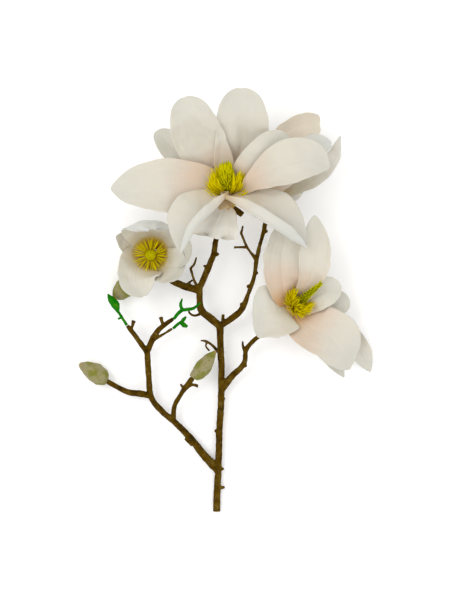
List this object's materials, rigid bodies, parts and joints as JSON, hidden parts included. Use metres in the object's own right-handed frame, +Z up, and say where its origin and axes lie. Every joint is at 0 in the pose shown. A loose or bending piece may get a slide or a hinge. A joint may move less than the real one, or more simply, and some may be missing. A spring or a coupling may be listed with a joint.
{
  "type": "magnolia branch",
  "caption": "Cut magnolia branch lying on a surface: forked brown twigs carry open ivory blooms, felted winter buds and young green shoots.",
  "frame": {"origin": "centre of the bounding box's footprint, on the surface that the branch lies on", "axes": "+Y from the cut end of the stem towards the blooms, +Z up, away from the surface, +X to the right as seen from above with the cut end nearest"},
  "size_m": [0.2523, 0.36, 0.0883],
  "materials": {
    "bark": "rough brown bark",
    "ivory_tepal": "satin ivory",
    "golden_stamen": "matte golden yellow",
    "olive_pistil": "matte olive green",
    "felted_bud": "grey-beige felt",
    "green_shoot": "fresh satin green"
  },
  "bodies": {
    "root": {"woody_branch": "bark", "front_bloom_tepals": "ivory_tepal", "front_bloom_stamens": "golden_stamen", "front_bloom_pistil": "olive_pistil", "back_bloom_tepals": "ivory_tepal", "back_bloom_stamens": "golden_stamen", "back_bloom_pistil": "olive_pistil", "right_bloom_tepals": "ivory_tepal", "right_bloom_stamens": "golden_stamen", "right_bloom_pistil": "olive_pistil", "cup_bloom_tepals": "ivory_tepal", "cup_bloom_stamens": "golden_stamen", "cup_bloom_pistil": "olive_pistil", "left_felted_bud": "felted_bud", "cup_felted_bud": "felted_bud", "middle_felted_bud": "felted_bud", "left_leaf_bud": "green_shoot", "upper_green_shoot": "green_shoot", "lower_green_shoot": "green_shoot"}
  },
  "joints": []
}
